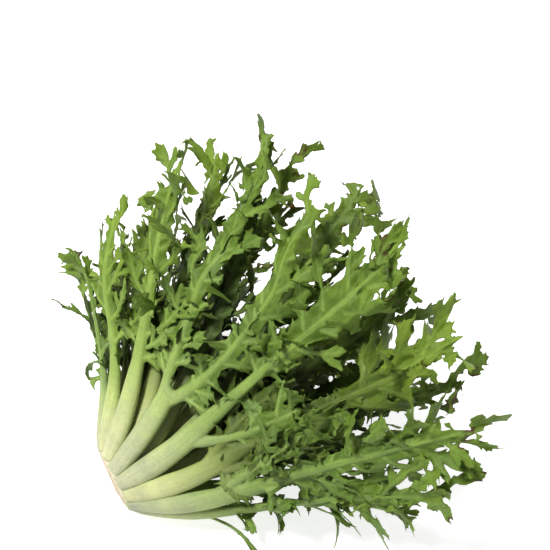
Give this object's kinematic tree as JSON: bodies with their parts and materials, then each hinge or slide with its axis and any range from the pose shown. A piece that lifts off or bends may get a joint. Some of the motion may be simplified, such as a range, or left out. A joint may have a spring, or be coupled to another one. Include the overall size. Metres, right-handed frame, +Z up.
{
  "type": "curly endive head",
  "caption": "Head of curly endive lying on its side, pale stout stalks fanning from a cut crown into jagged, forked green leaves.",
  "frame": {"origin": "middle of the underside of the head, on the surface it lies on", "axes": "+X from the cut crown towards the leaf tips, +Y across the fan of leaves, +Z up from the surface"},
  "size_m": [0.2272, 0.3726, 0.2275],
  "materials": {
    "crown_flesh": "matte",
    "outer_leaf": "matte",
    "upper_leaf": "matte",
    "middle_leaf": "matte",
    "inner_leaf": "matte",
    "heart_leaf": "matte"
  },
  "bodies": {
    "root": {"crown": "crown_flesh", "outer_leaf_01": "outer_leaf", "outer_leaf_02": "outer_leaf", "outer_leaf_03": "outer_leaf", "outer_leaf_04": "outer_leaf", "outer_leaf_05": "outer_leaf", "outer_leaf_06": "outer_leaf", "outer_leaf_07": "outer_leaf", "outer_leaf_08": "outer_leaf", "outer_leaf_09": "outer_leaf", "outer_leaf_10": "outer_leaf", "outer_leaf_11": "outer_leaf", "outer_leaf_12": "outer_leaf", "outer_leaf_13": "outer_leaf", "outer_leaf_14": "outer_leaf", "upper_leaf_01": "upper_leaf", "upper_leaf_02": "upper_leaf", "upper_leaf_03": "upper_leaf", "upper_leaf_04": "upper_leaf", "upper_leaf_05": "upper_leaf", "upper_leaf_06": "upper_leaf", "upper_leaf_07": "upper_leaf", "upper_leaf_08": "upper_leaf", "upper_leaf_09": "upper_leaf", "upper_leaf_10": "upper_leaf", "upper_leaf_11": "upper_leaf", "upper_leaf_12": "upper_leaf", "middle_leaf_01": "middle_leaf", "middle_leaf_02": "middle_leaf", "middle_leaf_03": "middle_leaf", "middle_leaf_04": "middle_leaf", "middle_leaf_05": "middle_leaf", "middle_leaf_06": "middle_leaf", "middle_leaf_07": "middle_leaf", "middle_leaf_08": "middle_leaf", "middle_leaf_09": "middle_leaf", "middle_leaf_10": "middle_leaf", "inner_leaf_01": "inner_leaf", "inner_leaf_02": "inner_leaf", "inner_leaf_03": "inner_leaf", "inner_leaf_04": "inner_leaf", "inner_leaf_05": "inner_leaf", "inner_leaf_06": "inner_leaf", "inner_leaf_07": "inner_leaf", "heart_leaf_01": "heart_leaf", "heart_leaf_02": "heart_leaf", "heart_leaf_03": "heart_leaf", "heart_leaf_04": "heart_leaf"}
  },
  "joints": []
}
